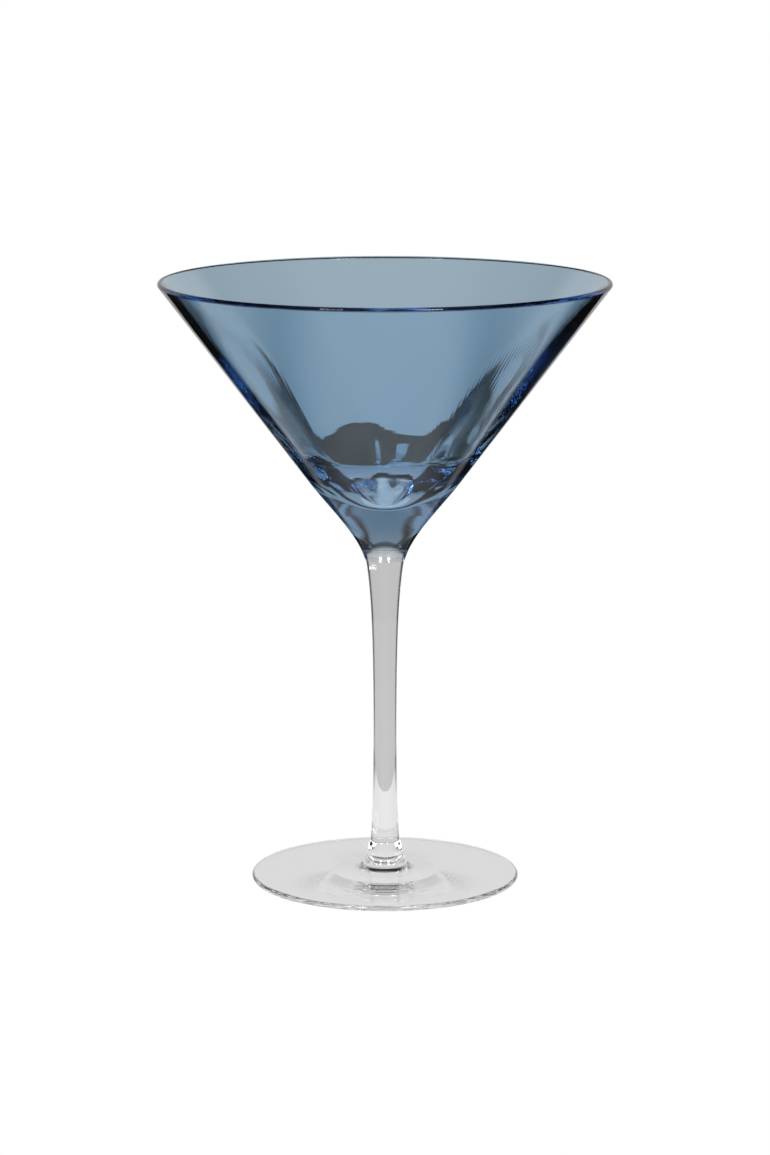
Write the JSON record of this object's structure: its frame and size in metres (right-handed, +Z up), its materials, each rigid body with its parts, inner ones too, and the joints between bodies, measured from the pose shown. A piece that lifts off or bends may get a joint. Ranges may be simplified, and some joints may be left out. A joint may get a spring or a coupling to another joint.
{
  "type": "martini glass",
  "caption": "Stemmed cocktail glass with a tinted conical bowl, a clear drawn stem and a clear round foot.",
  "frame": {"origin": "middle of the foot's underside, on the surface the glass stands on", "axes": "+Z up along the stem, from the foot towards the rim; the glass is round about Z"},
  "size_m": [0.125, 0.125, 0.169],
  "materials": {
    "tinted_glass": "polished, transparent blue-grey through the body",
    "clear_glass": "polished, transparent, colourless"
  },
  "bodies": {
    "root": {"bowl": "tinted_glass", "stem": "clear_glass", "foot": "clear_glass"}
  },
  "joints": []
}
